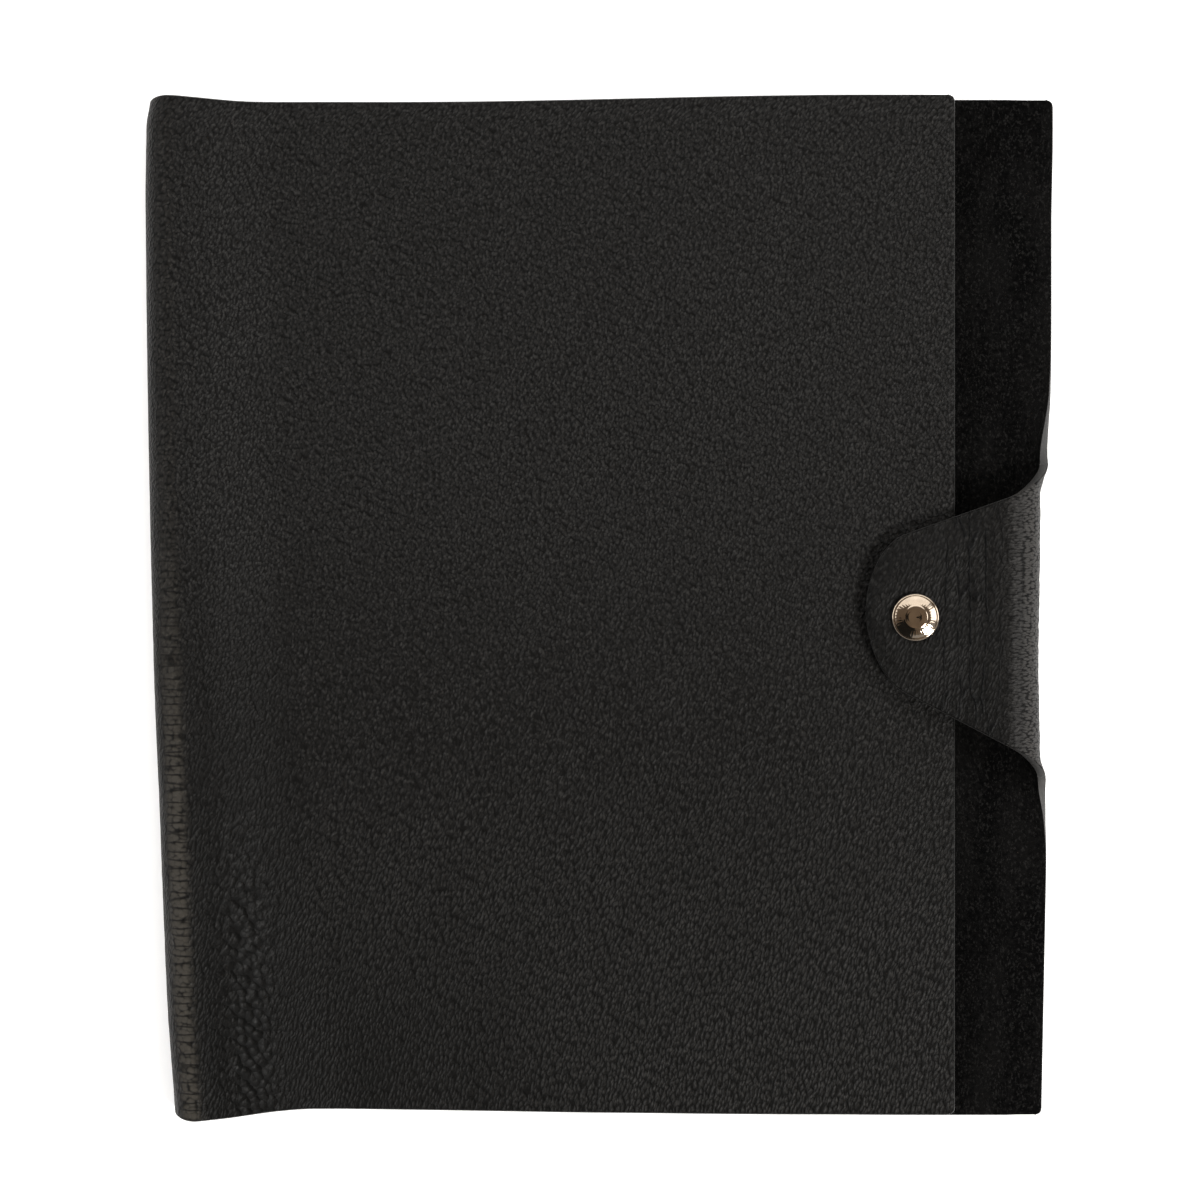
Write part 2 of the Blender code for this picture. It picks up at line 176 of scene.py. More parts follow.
def leather_sheet(name, grain, flesh, place, marks, joined, flip):
    """A closed sheet from its grain face and flesh face, both (rows, columns, 3).

    place is each point's spot on the flat hide. marks says how the grain looks there,
    in four shares: on the spine's bend, puffed up, creased, and on the strap's fold.
    These shares also place rubbed wear and the painted highlights and shade.
    joined is true where the border meets another sheet of the hide, so isn't rounded.
    """
    rows, columns = grain.shape[:2]
    count = rows * columns
    through = flesh - grain
    through = through / np.linalg.norm(through, axis=-1, keepdims=True)
    drop = np.zeros((rows, columns))
    for k, part in enumerate(DROP_SHARES):
        for line, edge in ((np.s_[k, :], np.s_[0, :]), (np.s_[-1 - k, :], np.s_[-1, :])):
            drop[line] = np.maximum(drop[line], part * ~joined[edge])
        for line in (np.s_[:, k], np.s_[:, -1 - k]):
            drop[line] = np.maximum(drop[line], part)
    grain = grain + through * (drop * EDGE_DROP)[..., None]
    flesh = flesh - through * (drop * EDGE_DROP * 0.5)[..., None]
    index = np.arange(count).reshape(rows, columns)
    quads = np.stack([index[:-1, :-1], index[1:, :-1], index[1:, 1:], index[:-1, 1:]], axis=-1)
    quads = quads.reshape(-1, 4)
    rim = border(rows, columns)
    at = tuple(rim.T)
    around = index[at]
    away = outward((grain + flesh) / 2)[at] * np.where(joined[at], 0.0, 1.0)[:, None]

    points = [grain.reshape(-1, 3), flesh.reshape(-1, 3)]
    places = [place.reshape(-1, 3), place.reshape(-1, 3) + (0, 0, LEATHER)]
    wear_and_light_rows = [marks.reshape(-1, 4), marks.reshape(-1, 4)]
    rings = [around]
    for k, share in enumerate(RIM_SHARES):
        level = grain[at] * (1 - share) + flesh[at] * share
        points.append(level + away * RIM_BULGE * math.sin(math.pi * share))
        places.append(place[at] + (0, 0, LEATHER * share))
        wear_and_light_rows.append(marks[at])
        rings.append(2 * count + k * len(rim) + np.arange(len(rim)))
    rings.append(around + count)
    faces = [quads[:, ::-1], quads + count]
    for upper, lower in zip(rings, rings[1:]):
        faces.append(np.stack([upper, np.roll(upper, -1), np.roll(lower, -1), lower], axis=-1))
    kinds = np.concatenate([np.full(len(f), min(k, 2)) for k, f in enumerate(faces)])
    faces = np.concatenate(faces)
    if flip:
        faces = faces[:, ::-1]

    mesh = bpy.data.meshes.new(name)
    mesh.from_pydata(np.concatenate(points).tolist(), [], faces.tolist())
    mesh.polygons.foreach_set("material_index", kinds.astype(np.int32))
    mesh.shade_smooth()
    spots = mesh.attributes.new("hide_place", "FLOAT_VECTOR", "POINT")
    spots.data.foreach_set("vector", np.concatenate(places).astype(np.float32).ravel())
    # These shares set where rubbed wear, painted highlights and painted shade go in the grain's
    # colour.
    wear = mesh.attributes.new("hide_marks", "FLOAT_COLOR", "POINT")
    wear.data.foreach_set("color", np.concatenate(wear_and_light_rows).astype(np.float32).ravel())
    ends = np.zeros(len(mesh.edges) * 2, np.int32)
    mesh.edges.foreach_get("vertices", ends)
    side = np.zeros(len(mesh.vertices), np.int8)
    side[around], side[around + count] = 1, 2
    ends = side[ends.reshape(-1, 2)]
    sharp = mesh.attributes.new("sharp_edge", "BOOLEAN", "EDGE")
    sharp.data.foreach_set("value", (ends[:, 0] == ends[:, 1]) & (ends[:, 0] > 0))
    mesh.update()
    return link(bpy.data.objects.new(name, mesh))


def inward(path):
    """Unit normals to the flesh side of a path of rows that runs in X and Z."""
    along = np.gradient(path, axis=0)
    level = np.zeros(path.shape[:2])
    normal = np.stack([along[..., 2], level, -along[..., 0]], axis=-1)
    return normal / np.linalg.norm(normal, axis=-1, keepdims=True)


def travelled(path):
    """Length of the path from its first row, across the hide."""
    steps = np.linalg.norm(np.diff(path[..., [0, 2]], axis=0), axis=-1)
    return np.concatenate([np.zeros((1, path.shape[1])), np.cumsum(steps, axis=0)])


# ---- spine side: back cover, rolled spine, front cover ------------------------------
def spine_line(v):
    """Furthest reach of the spine, v being 0 at its tail and 1 at its head."""
    leaning = -0.0945 - 0.0110 * v + 0.0052 * v * v
    bulge = -0.00028 * rise(v, 0.28, 0.15) * fade(v, 0.90, 0.08)
    tail_corner = 0.00060 * fade(v * HEIGHT, 0.0, 0.026)
    head_corner = 0.0008 * fade((1 - v) * HEIGHT, 0.0, 0.008) ** 2
    return leaning + bulge + tail_corner + head_corner


def tail_step(x):
    """The back cover's tail edge is a little shorter under the front cover."""
    return 0.0017 * fade(x, -0.045, 0.115)


def back_ends(x):
    """The back cover's tail and head edges: a slight step, and a flare at the spine."""
    tail = BACK_TAIL_Y + tail_step(x) - 0.0021 * fade(x, -0.095, 0.030)
    head = BACK_HEAD_Y - 0.0012 * fade(x, -0.020, 0.040) + 0.0014 * fade(x, -0.100, 0.030)
    return tail, head


def front_ends(x):
    """The front cover's tail and head edges: a slight waist, and a flare at the spine."""
    tail_waist = 0.0012 * fade(x, -0.085, 0.115)
    tail = front_low.y - 0.0003 * rise(x, 0.0, 0.060) + tail_waist - 0.0027 * fade(x, -0.093, 0.030)
    head_waist = -0.0017 * fade(x, -0.045, 0.110)
    head = HEAD_Y + 0.0004 + head_waist + 0.0014 * fade(x, -0.100, 0.024)
    return tail, head


COLUMNS = graded(HEIGHT, 0.00078)
UPWARD = HEIGHT * COLUMNS
PUFF = fade(UPWARD, 0.0, 0.085)  # the roll stands a little fuller towards its tail
REACH = spine_line(COLUMNS)
CENTRE = REACH + ROLL_RADIUS
CREST = ROLL_RADIUS + 0.0016 * PUFF
SETTLE = 0.024 + 0.010 * PUFF  # the way from the crest down to the flat front cover
BACK_LENGTH, FRONT_LENGTH = 0.114, 0.150  # rough lengths, only to space the rows

rows_x, rows_z, turns = [], [], []
for share in graded(BACK_LENGTH, 0.0026)[:-1]:
    rows_x.append(SPLIT_X + (CENTRE - SPLIT_X) * share)
    rows_z.append(0 * COLUMNS)
    turns.append(0.0)
ANGLES = np.concatenate([np.linspace(0, 84, 19), [87, 89, 90, 91, 93], np.linspace(96, 180, 19)])
for angle in np.radians(ANGLES):
    rows_x.append(CENTRE - ROLL_RADIUS * math.sin(angle))
    climb = ROLL_RADIUS if angle < math.pi / 2 else CREST
    rows_z.append(ROLL_RADIUS - climb * math.cos(angle) + 0 * COLUMNS)
    turns.append(angle / math.pi)
for share in np.linspace(0, 1, 32)[1:]:
    rows_x.append(CENTRE + SETTLE * share)
    rows_z.append(FRONT_TOP + (ROLL_RADIUS + CREST - FRONT_TOP) * (1 - smooth(share)))
    turns.append(1.0)
cut = cut_back(np.minimum(UPWARD, HEIGHT - UPWARD))
for share in graded(FRONT_LENGTH, 0.0017)[1:]:
    rows_x.append(CENTRE + SETTLE + (FRONT_EDGE_X - cut * share**8 - CENTRE - SETTLE) * share)
    rows_z.append(FRONT_TOP + 0 * COLUMNS)
    turns.append(1.0)
rows_x, rows_z, turns = np.array(rows_x), np.array(rows_z), np.array(turns)[:, None]
SEAM = int(np.argmax(turns[:, 0] >= 0.5))

lower_tail, lower_head = back_ends(rows_x)
upper_tail, upper_head = front_ends(rows_x)
tail = lower_tail + (upper_tail - lower_tail) * turns
head = lower_head + (upper_head - lower_head) * turns
mid_roll = np.sin(turns * math.pi) ** 4  # the roll's ends draw in at mid height
tail, head = tail + 0.0013 * mid_roll, head - 0.0009 * mid_roll
rows_y = tail + (head - tail) * COLUMNS

# A crease runs along the inside of the spine, deepest towards the tail.
from_edge = rows_x - REACH
on_front = rise(turns, 0.62, 0.3)
crease_depth = 0.00010 + 0.00040 * fade(UPWARD, 0.02, 0.13)
rows_z = rows_z - on_front * crease_depth * bell(from_edge, 0.0095, 0.0032)

path = np.stack([rows_x, rows_y, rows_z], axis=-1)
path_s = travelled(path)
normal = inward(path)

# The flesh side follows the slow swell, and the lumps stand on the grain side alone.
near_snap = np.exp(-(((rows_x - SNAP_X) ** 2 + (rows_y - SNAP_Y) ** 2) / 0.012**2))
swell = 0.00018 * ripple(path_s, rows_y, 11, 0.075) + 0.00010 * ripple(path_s, rows_y, 12, 0.030)
swell = swell * on_front * (1 - near_snap)
ridge = rise(turns, 0.15, 0.2) * (1 - rise(from_edge, 0.0048, 0.0036) * (turns > 0.6))
low_part = fade(UPWARD, 0.060, 0.110)
upper_side = 0.25 + 0.75 * rise(turns, 0.55, 0.25)
puff = on_front * bell(from_edge, 0.0185, 0.0080) * fade(UPWARD, 0.035, 0.060)
ridge_lumps = 0.00010 * upper_side * ridge * (0.35 + 0.65 * low_part)
lumps = ridge_lumps * ripple(path_s * 0.5, rows_y, 21, 0.0052)
lumps = lumps + 0.00012 * ripple(path_s, rows_y, 22, 0.0050) * puff
outer = path - normal * (swell + lumps)[..., None]
inner = path + normal * (LEATHER - swell)[..., None]
place = np.stack([path_s, rows_y, 0 * path_s], axis=-1)
# The bend's share, most on the roll's upper side and low down, places a lighter colour: partly rubbed
# wear, partly a painted highlight.
crown = 0.35 + 0.65 * rise(from_edge, 0.0006, 0.0024)
bend = ridge * upper_side * crown * (0.30 + 0.70 * low_part)
marks = np.stack([bend, puff, 0 * puff, 0 * puff], axis=-1)
joined = np.zeros(path.shape[:2], bool)
joined[0], joined[SEAM] = True, True


def spine_sheet(name, part):
    faces = (outer[part], inner[part])
    return leather_sheet(name, *faces, place[part], marks[part], joined[part], False)


hide_back_left = spine_sheet("hide_back_left", np.s_[: SEAM + 1])
hide_front = spine_sheet("hide_front", np.s_[SEAM:])


# ---- strap side: rest of the back cover, strap fold, strap --------------------------
def strap_half_width(distance):
    u = 1 - np.minimum(distance / NOSE_LENGTH, 1.0)
    return NOSE_WIDTH * np.sqrt(np.maximum(1 - u * u, 0)) + FLARE * distance


def strap_sides(x):
    distance = np.maximum(x - STRAP_TIP_X, 0.0)
    middle = STRAP_TIP_Y + STRAP_LEAN * distance
    half = strap_half_width(distance)
    return middle - half, middle + half


ROOT_TAIL, ROOT_HEAD = strap_sides(STRAP_REACH_X)
ROOT_TAIL, ROOT_HEAD = ROOT_TAIL - FILLET_TAIL, ROOT_HEAD + FILLET_HEAD
ACROSS = graded(ROOT_HEAD - ROOT_TAIL, 0.00042, 0.0009)
below = BACK_TAIL_Y + (ROOT_TAIL - BACK_TAIL_Y) * graded(ROOT_TAIL - BACK_TAIL_Y, 0.0012)
above = ROOT_HEAD + (BACK_HEAD_Y - ROOT_HEAD) * graded(BACK_HEAD_Y - ROOT_HEAD, 0.0012)
column_y = np.concatenate([below[:-1], ROOT_TAIL + (ROOT_HEAD - ROOT_TAIL) * ACROSS, above[1:]])
FIRST, LAST = len(below) - 1, len(below) - 1 + len(ACROSS) - 1

# Beside the strap's root the back cover still curls up, less and less.
over = np.maximum(column_y - ROOT_HEAD, 0)
under = np.maximum(ROOT_TAIL - column_y, 0)
aside = np.maximum(over, under)
curl = 0.30 * bell(aside, 0.0, 0.0060) + 0.70 * bell(aside, 0.0, np.where(over > 0, 0.0150, 0.0105))
curve = curl / FOLD_RADIUS
up_edge = (column_y - BACK_TAIL_Y) / (BACK_HEAD_Y - BACK_TAIL_Y)
cut = cut_back(np.minimum(column_y - BACK_TAIL_Y, BACK_HEAD_Y - column_y))
edge_x = BACK_EDGE_X_TAIL + (BACK_EDGE_X_HEAD - BACK_EDGE_X_TAIL) * up_edge - cut
fillet = np.maximum(1 - aside / (2.1 * (QUARTER_FOLD - edge_x + FOLD_CENTRE_X)), 0) ** 2
run_out = (edge_x - FOLD_CENTRE_X) * (1 - fillet) + QUARTER_FOLD * fillet


def bent(s, curve):
    """Grain point and turn after a length s beyond the fold's first line."""
    a = curve * s
    x = FOLD_CENTRE_X + s * np.sinc(a / math.pi)
    return x, s * (a / 2) * np.sinc(a / (2 * math.pi)) ** 2, a


def outline(y):
    """Furthest reach of the bent hide: the fold, and the flaps on each side of it."""
    fold = 0.0977 - 0.0004 * bell(y, -0.011, 0.016)
    head_flap = 0.0995 + 0.0010 * rise(y, 0.0325, 0.016) + 0.0003 * rise(y, 0.085, 0.020)
    taper = np.clip((-y - 0.055) / 0.055, 0, 1)
    tail_flap = 0.0991 + 0.0003 * rise(-y, 0.0385, 0.008) - 0.0011 * taper
    on_head, on_tail = rise(y, 0.0250, 0.0075), rise(-y, 0.0325, 0.0060)
    return fold + on_head * (head_flap - fold) + on_tail * (tail_flap - fold)


bent_reach = bent(run_out * np.linspace(0, 1, 60)[:, None], curve)[0].max(axis=0)
give = outline(column_y) - cut - bent_reach  # moves the bend out to the outline
towards_tail = np.clip((column_y + 0.030) / (BACK_TAIL_Y + 0.030), 0, 1)
grain_rows, turned_by, s_rows = [], [], []
for share in graded(FOLD_CENTRE_X - SPLIT_X, 0.0026)[:-1]:
    x = SPLIT_X + (FOLD_CENTRE_X - SPLIT_X) * share
    y = column_y + tail_step(x) * towards_tail
    grain_rows.append(np.stack([x + 0 * y, y, 0 * y], axis=-1))
    turned_by.append(0 * column_y)
    s_rows.append(SPLIT_X - x + 0 * column_y)
for share in graded(0.0100, 0.00055, 0.0008):
    x, z, a = bent(run_out * share, curve)
    grain_rows.append(np.stack([x + give * smooth(share), column_y, z], axis=-1))
    turned_by.append(a)
    s_rows.append(SPLIT_X - FOLD_CENTRE_X - run_out * share)
grain_rows, turned_by, s_rows = np.array(grain_rows), np.array(turned_by), np.array(s_rows)
to_flesh = np.stack([-np.sin(turned_by), 0 * turned_by, np.cos(turned_by)], axis=-1)


def fold_wrinkles(s, y, strength):
    """Fine folds that run round a tight bend."""
    return strength * 0.00003 * (ripple(s * 0.35, y, 31, 0.0019) + ripple(s * 0.5, y, 32, 0.0034))


in_root = np.minimum(column_y - ROOT_TAIL, ROOT_HEAD - column_y)
bending = smooth(turned_by / 0.5) * rise(in_root, -0.004, 0.004)
outer = grain_rows - to_flesh * fold_wrinkles(s_rows, column_y, bending)[..., None]
inner = grain_rows + to_flesh * LEATHER
place = np.stack([s_rows, column_y + 0 * s_rows, 0 * s_rows], axis=-1)
marks = np.stack([0 * s_rows, 0 * s_rows, 0 * s_rows, bending], axis=-1)
joined = np.zeros(s_rows.shape, bool)
joined[0] = True
joined[-1, FIRST : LAST + 1] = True
hide_back_right = leather_sheet("hide_back_right", outer, inner, place, marks, joined, True)
seam_outer, seam_inner = outer[-1, FIRST : LAST + 1], inner[-1, FIRST : LAST + 1]

# Each row of the strap: its x, its z, how far the hide has turned, its path length.
strap_rows = []
fold_s = SPLIT_X - FOLD_CENTRE_X
for angle in np.radians(np.concatenate([[90, 90.8, 92, 94], np.linspace(97, 180, 26)])):
    x = FOLD_CENTRE_X + FOLD_RADIUS * math.sin(angle)
    z = FOLD_RADIUS * (1 - math.cos(angle))
    strap_rows.append((x, z, angle, fold_s - FOLD_RADIUS * angle))
straight = np.linspace(FOLD_CENTRE_X, STRAP_TIP_X + NOSE_LENGTH, 56)[1:]
nose = STRAP_TIP_X + NOSE_LENGTH * (1 - np.cos(np.radians(np.linspace(90, 2.5, 34)[1:])))
for x in np.concatenate([straight, nose]):
    strap_rows.append((x, STRAP_TOP, math.pi, fold_s - 2 * QUARTER_FOLD - (FOLD_CENTRE_X - x)))
strap_x, strap_z, strap_turn, strap_s = np.array(strap_rows).T[:, :, None]
side_tail, side_head = strap_sides(strap_x)
widen = np.maximum(2 - 2 * strap_turn / math.pi, 0)
side_tail, side_head = side_tail - FILLET_TAIL * widen**3, side_head + FILLET_HEAD * widen**2
strap_y = side_tail + (side_head - side_tail) * ACROSS
plan_x = strap_x + (outline(strap_y) - STRAP_REACH_X) * np.sin(strap_turn)

# Past the fold the strap droops at its sides and tip, dips under the cap and sags.
from_fold = smooth((FOLD_CENTRE_X - plan_x) / 0.010)
from_side = np.minimum(strap_y - side_tail, side_head - strap_y)
droop = 0.0007 * fade(from_side, 0.0, 0.010) ** 1.5 + 0.0002 * fade(plan_x, STRAP_TIP_X, 0.008)
dimple = 0.00035 * bell(np.hypot(plan_x - SNAP_X, strap_y - SNAP_Y), 0.0, 0.0085)
sag = 0.0005 * rise(plan_x, SNAP_X, 0.012)
turn = strap_turn + 0 * strap_y
to_flesh = np.stack([-np.sin(turn), 0 * turn, np.cos(turn)], axis=-1)
grid = np.stack([plan_x, strap_y, strap_z - from_fold * (droop + dimple + sag)], axis=-1)
bending = smooth((math.pi - turn) / 0.6)
bending = np.maximum(bending, 0.75 * fade(FOLD_CENTRE_X - plan_x, -0.002, 0.0055))
creases = rise(plan_x, SNAP_X + 0.002, 0.006) * fade(plan_x, 0.0855, 0.005)
relief = fold_wrinkles(strap_s, strap_y, bending)
relief = relief + 0.00009 * creases * ripple(plan_x, strap_y * 0.22, 41, 0.0030)
relief = relief + 0.00006 * ripple(plan_x, strap_y, 42, 0.0120) * from_fold
outer = grid - to_flesh * relief[..., None]
inner = grid + to_flesh * LEATHER
outer[0], inner[0] = seam_outer, seam_inner
place = np.stack([strap_s + 0 * strap_y, strap_y, 0 * strap_y], axis=-1)
marks = np.stack([0 * strap_y, 0 * strap_y, creases, bending], axis=-1)
joined = np.zeros(strap_y.shape, bool)
joined[0] = True
strap_top = leather_sheet("strap_top", outer, inner, place, marks, joined, True)


# ---- node graphs -------------------------------------------------------------------
class Graph:
    """A material's node tree, built with short calls."""

    def __init__(self, name):
        self.material = bpy.data.materials.new(name)
        self.material.use_nodes = True
        self.tree = self.material.node_tree
        self.shader = self.tree.nodes["Principled BSDF"]

    def put(self, socket, value):
        if isinstance(value, bpy.types.NodeSocket):
            self.tree.links.new(value, socket)
        elif value is not None:
            socket.default_value = value

    def node(self, kind, inputs=(), **settings):
        made = self.tree.nodes.new("ShaderNode" + kind)
        for key, value in settings.items():
            setattr(made, key, value)
        for key, value in dict(inputs).items():
            self.put(made.inputs[key], value)
        return made

    def attribute(self, name):
        return self.node("Attribute", attribute_name=name).outputs["Vector"]

    def split(self, vector):
        parts = self.node("SeparateXYZ", {0: vector})
        return [parts.outputs[k] for k in range(3)]

    def math(self, operation, a, b=None, c=None, clamp=False):
        made = self.node("Math", {0: a, 1: b, 2: c}, operation=operation, use_clamp=clamp)
        return made.outputs[0]

    def vector(self, operation, a, b=None, scale=None):
        return self.node("VectorMath", {0: a, 1: b, 3: scale}, operation=operation).outputs[0]

    def scaled(self, vector, scale, turn=0.0):
        inputs = {"Vector": vector, "Rotation": (0.0, 0.0, turn), "Scale": scale}
        return self.node("Mapping", inputs).outputs[0]

    def noise(self, vector, scale, detail=2.0, roughness=0.5):
        inputs = {"Vector": vector, "Scale": scale, "Detail": detail, "Roughness": roughness}
        return self.node("TexNoise", inputs).outputs

    def cells(self, vector, scale, feature="DISTANCE_TO_EDGE", randomness=1.0):
        inputs = {"Vector": vector, "Scale": scale, "Randomness": randomness}
        return self.node("TexVoronoi", inputs, feature=feature, voronoi_dimensions="2D").outputs

    def range(self, value, low, high, to_low=0.0, to_high=1.0):
        inputs = {"Value": value, "From Min": low, "From Max": high}
        inputs.update({"To Min": to_low, "To Max": to_high})
        return self.node("MapRange", inputs, interpolation_type="SMOOTHSTEP").outputs[0]

    def mix(self, factor, a, b):
        made = self.node("Mix", {0: factor}, data_type="FLOAT")
        self.put(made.inputs[2], a)
        self.put(made.inputs[3], b)
        return made.outputs[0]

    def colour(self, factor, a, b):
        made = self.node("Mix", {0: factor}, data_type="RGBA")
        for socket, value in ((made.inputs[6], a), (made.inputs[7], b)):
            self.put(socket, value if isinstance(value, bpy.types.NodeSocket) else (*value, 1.0))
        return made.outputs[2]

    def bump(self, height, distance):
        inputs = {"Height": height, "Distance": distance, "Strength": 1.0}
        return self.node("Bump", inputs).outputs[0]

    def finish(self, **values):
        for key, value in values.items():
            self.put(self.shader.inputs[key.replace("_", " ")], value)
        return self.material


SHADOWED = (0.0020, 0.0020, 0.0019)  # painted shade: what the grain's lighter tops are pulled to on the strap, the tail corner and the valley
GRAIN_SLANT = math.radians(24)  # the grain runs up to the right


def grain_leather():
    """Black calf with an embossed pebble grain, wrinkled where the hide bends."""
    g = Graph("grain_leather_black")
    place = g.attribute("hide_place")
    # The shares that place rubbed wear and the painted highlights and shade.
    wear_and_light_spots = g.node("Attribute", attribute_name="hide_marks").outputs
    bend, puffy, creased = g.split(wear_and_light_spots["Color"])
    fold = wear_and_light_spots["Alpha"]
    along, y, _ = g.split(place)
    on_strap = g.range(along, -0.084, -0.094)
    lower = g.math("MAXIMUM", g.range(y, 0.040, -0.085), g.math("MULTIPLY", on_strap, 0.8))

    # The cells wander by up to half a millimetre, so that no row of them runs straight.
    wander = g.vector("SUBTRACT", g.noise(place, 420.0)["Color"], (0.5, 0.5, 0.5))
    shift = g.vector("SCALE", wander, scale=0.0010)
    across = g.vector("ADD", place, shift)
    calm = g.vector("ADD", place, g.vector("SCALE", shift, scale=0.45))
    slanted = g.vector("ADD", g.scaled(place, (1.0, 1.0, 0.0), GRAIN_SLANT), shift)

    def pebbles(spot, stretch, scale, fill):
        """Domed cells, 1 at the middle of each and 0 in the crease round it."""
        reach = g.math("MULTIPLY", g.cells(g.scaled(spot, stretch), scale, "F1")["Distance"], fill)
        return g.math("SUBTRACT", 1.0, g.math("MULTIPLY", reach, reach), clamp=True)

    fine = pebbles(slanted, (1.0, 0.74, 0.0), 1500.0, 1.32)
    drawn = pebbles(slanted, (1.0, 0.42, 0.0), 1500.0, 1.32)
    coarse = pebbles(across, (1.0, 1.0, 0.0), 560.0, 1.30)
    tight = pebbles(across, (0.42, 1.0, 0.0), 2100.0, 1.20)
    tight = g.math("MULTIPLY_ADD", tight, 0.90, 0.10)
    rolled = pebbles(across, (0.80, 1.0, 0.0), 980.0, 1.20)
    rolled = g.math("MULTIPLY_ADD", rolled, 0.75, 0.25)
    ribs = g.cells(g.scaled(calm, (0.14, 1.0, 0.0)), 470.0, randomness=0.8)["Distance"]
    rolled = g.math("MULTIPLY", rolled, g.range(ribs, 0.0, 0.17, 0.36, 1.0))
    crest = g.mix(lower, fine, drawn)
    crest = g.mix(puffy, crest, coarse)
    crest = g.mix(bend, crest, rolled)
    crest = g.mix(fold, crest, tight)
    lift = g.math("MULTIPLY_ADD", puffy, 1.7, g.math("MULTIPLY_ADD", bend, 0.30, 1.0))
    relief = g.math("MULTIPLY", crest, lift)

    crease = g.cells(g.scaled(across, (1.0, 0.16, 0.0)), 330.0)["Distance"]
    crease = g.math("SUBTRACT", 1.0, g.range(crease, 0.0, 0.085))
    crease_gate = g.range(g.noise(place, 150.0, 1.0)["Fac"], 0.38, 0.50)
    crease = g.math("MULTIPLY", crease, g.math("MULTIPLY", crease_gate, creased))
    pores = g.noise(place, 2600.0, 2.0, 0.6)["Fac"]
    broad = g.noise(place, 120.0, 2.0)["Fac"]
    height = g.math("SUBTRACT", relief, g.math("MULTIPLY", crease, 1.3))
    height = g.math("MULTIPLY_ADD", pores, 0.30, height)
    height = g.math("MULTIPLY_ADD", broad, 1.0, height)
    normal = g.bump(height, 0.000137)

    # Painted highlights: only some of the tops are coloured lighter on the flat hide, and most of
    # them on a bend.
    flecks = g.noise(g.scaled(slanted, (1.0, 0.6, 0.0)), 1500.0, 2.0, 0.6)["Fac"]
    flecks = g.range(flecks, 0.42, 0.66)
    flecks = g.math("MAXIMUM", flecks, g.math("MULTIPLY", g.math("MAXIMUM", bend, fold), 0.8))
    # Painted shade: more of each dome stays dark on the puffed part and on the lower hide, towards
    # the tail.
    hidden = g.mix(bend, g.mix(puffy, g.mix(lower, 0.30, 0.50), 0.57), 0.05)
    shown = g.range(crest, hidden, 1.0)
    shown = g.math("MULTIPLY", shown, g.math("MULTIPLY_ADD", flecks, 0.85, 0.15))
    # Painted shade: darker towards the tail corner by the spine, and in the valley beside the roll.
    corner = g.math("MULTIPLY", g.range(y, -0.050, -0.100), g.range(along, 0.225, 0.160))
    valley = g.math("MULTIPLY", g.range(y, 0.030, -0.050), g.range(along, 0.160, 0.152))
    # The lower hide's tops are a little darker as well: painted shade towards the tail.
    light = g.colour(lower, (0.0153, 0.0148, 0.0141), (0.0150, 0.0144, 0.0135))
    # Painted highlight: the puffed domes' tops are much lighter.
    light = g.colour(g.math("MULTIPLY", puffy, 0.8), light, (0.0350, 0.0348, 0.0342))
    # Painted shade on the strap, the tail corner and the valley: their tops are pulled to SHADOWED.
    for shade, share in ((on_strap, 0.30), (corner, 0.7), (valley, 0.6)):
        light = g.colour(g.math("MULTIPLY", shade, share), light, SHADOWED)
    # Lighter brown on the spine's bend: partly rubbed wear, partly a painted highlight along the
    # roll.
    rubbed_and_lit = g.math("MULTIPLY", bend, g.math("MULTIPLY_ADD", bend, 0.6, 0.4))
    light = g.colour(rubbed_and_lit, light, (0.0362, 0.0327, 0.0273))
    # Painted highlight: a lighter band over the strap's fold.
    light = g.colour(g.math("MULTIPLY", fold, fold), light, (0.0345, 0.0330, 0.0311))
    # Painted shade: the grain's valleys round the lighter tops are near black, and the creases darker
    # still.
    base = g.colour(shown, (0.0015, 0.0014, 0.0012), light)
    base = g.colour(crease, base, (0.0003, 0.0003, 0.0003))
    rough = g.math("MULTIPLY_ADD", g.noise(place, 900.0, 2.0)["Fac"], 0.14, 0.40)
    rough = g.math("MULTIPLY_ADD", shown, -0.08, rough)
    return g.finish(Base_Color=base, Roughness=rough, Normal=normal, Specular_IOR_Level=0.066)


def suede():
    """The flesh side: a dense nap of short fibres that swallows light."""
    g = Graph("flesh_side_suede")
    place = g.attribute("hide_place")
    nap = g.noise(g.scaled(place, (1.0, 0.62, 1.0)), 2300.0, 2.0, 0.6)["Fac"]
    tufts = g.noise(place, 900.0, 4.0, 0.6)["Fac"]
    strokes = g.noise(g.scaled(place, (1.0, 0.3, 1.0)), 160.0, 3.0)["Fac"]
    tone = g.math("MULTIPLY_ADD", tufts, 0.6, g.math("MULTIPLY", strokes, 0.5))
    tone = g.range(tone, 0.42, 0.68)
    base = g.colour(tone, (0.0003, 0.0003, 0.0003), (0.0022, 0.0021, 0.0020))
    base = g.colour(g.range(nap, 0.50, 0.74), base, (0.0078, 0.0075, 0.0071))
    height = g.math("MULTIPLY_ADD", nap, 0.7, tufts)
    normal = g.bump(height, 0.00014)
    return g.finish(Base_Color=base, Roughness=0.95, Normal=normal, Specular_IOR_Level=0.035)


